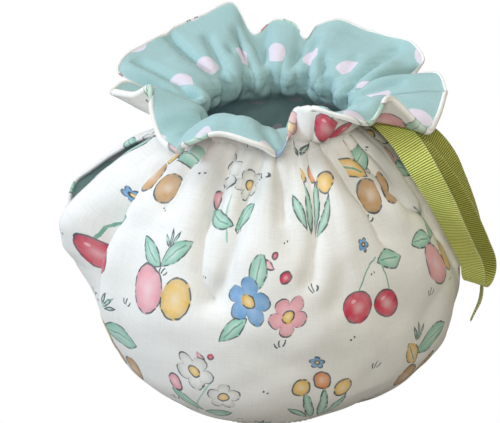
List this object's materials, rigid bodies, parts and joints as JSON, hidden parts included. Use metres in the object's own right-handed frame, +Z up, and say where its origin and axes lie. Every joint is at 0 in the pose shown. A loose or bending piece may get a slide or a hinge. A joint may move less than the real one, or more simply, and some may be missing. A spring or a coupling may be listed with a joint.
{
  "type": "tea cosy",
  "caption": "Rounded fabric tea cosy, drawn in at the neck under a lined ruffle, with spout and handle slits, an open hem and a ribbon bow.",
  "frame": {"origin": "bottom centre of the box round the whole cosy, on the plane that the hem rests on", "axes": "+Z up; +X from the spout slit to the handle slit, which is also the cosy's longest way; the front panel faces -Y"},
  "size_m": [0.2104, 0.1732, 0.1746],
  "materials": {
    "print_cotton": "plain-weave cotton, printed all over",
    "teal_cotton": "plain-weave cotton with pale spots",
    "green_ribbon": "ribbed grosgrain with a slight sheen"
  },
  "bodies": {
    "root": {"panel_front": "print_cotton", "panel_back": "print_cotton", "lining_front": "teal_cotton", "lining_back": "teal_cotton", "ribbon_tie": "green_ribbon"}
  },
  "joints": []
}
